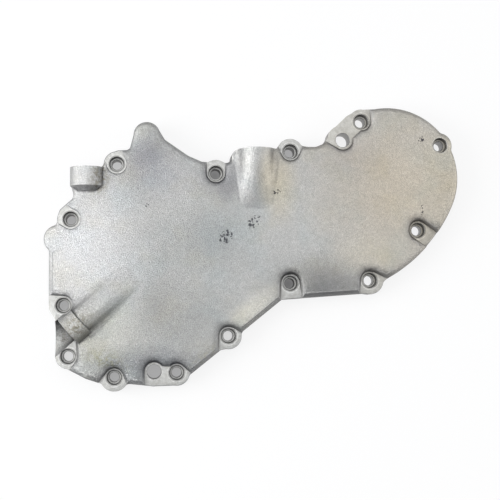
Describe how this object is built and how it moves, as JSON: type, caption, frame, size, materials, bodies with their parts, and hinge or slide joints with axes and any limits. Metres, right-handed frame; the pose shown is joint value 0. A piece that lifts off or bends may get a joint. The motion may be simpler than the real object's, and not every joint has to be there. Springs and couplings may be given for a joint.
{
  "type": "engine cam cover",
  "caption": "Flat cast aluminium cover for an engine's timing gears, with screw lugs round the rim, shaft bushes inside, an oil port and a breather port",
  "frame": {"origin": "axis of the pinion shaft's bush, in the gasket face", "axes": "+X along the cover towards its round end, +Y towards the edge with the upright bosses, +Z out of the engine"},
  "size_m": [0.2985, 0.2043, 0.0281],
  "materials": {
    "cast_aluminium": "satin as-cast skin with machined pads",
    "bronze": "machined bronze",
    "steel": "ground steel"
  },
  "bodies": {
    "root": {"cover_casting": "cast_aluminium", "pinion_shaft_bush": "bronze", "cam_shaft_bush": "bronze", "drive_shaft_bush": "bronze", "pinion_shaft_bush_pin": "steel", "cam_shaft_bush_pin": "steel", "drive_shaft_bush_pin": "steel"}
  },
  "joints": []
}
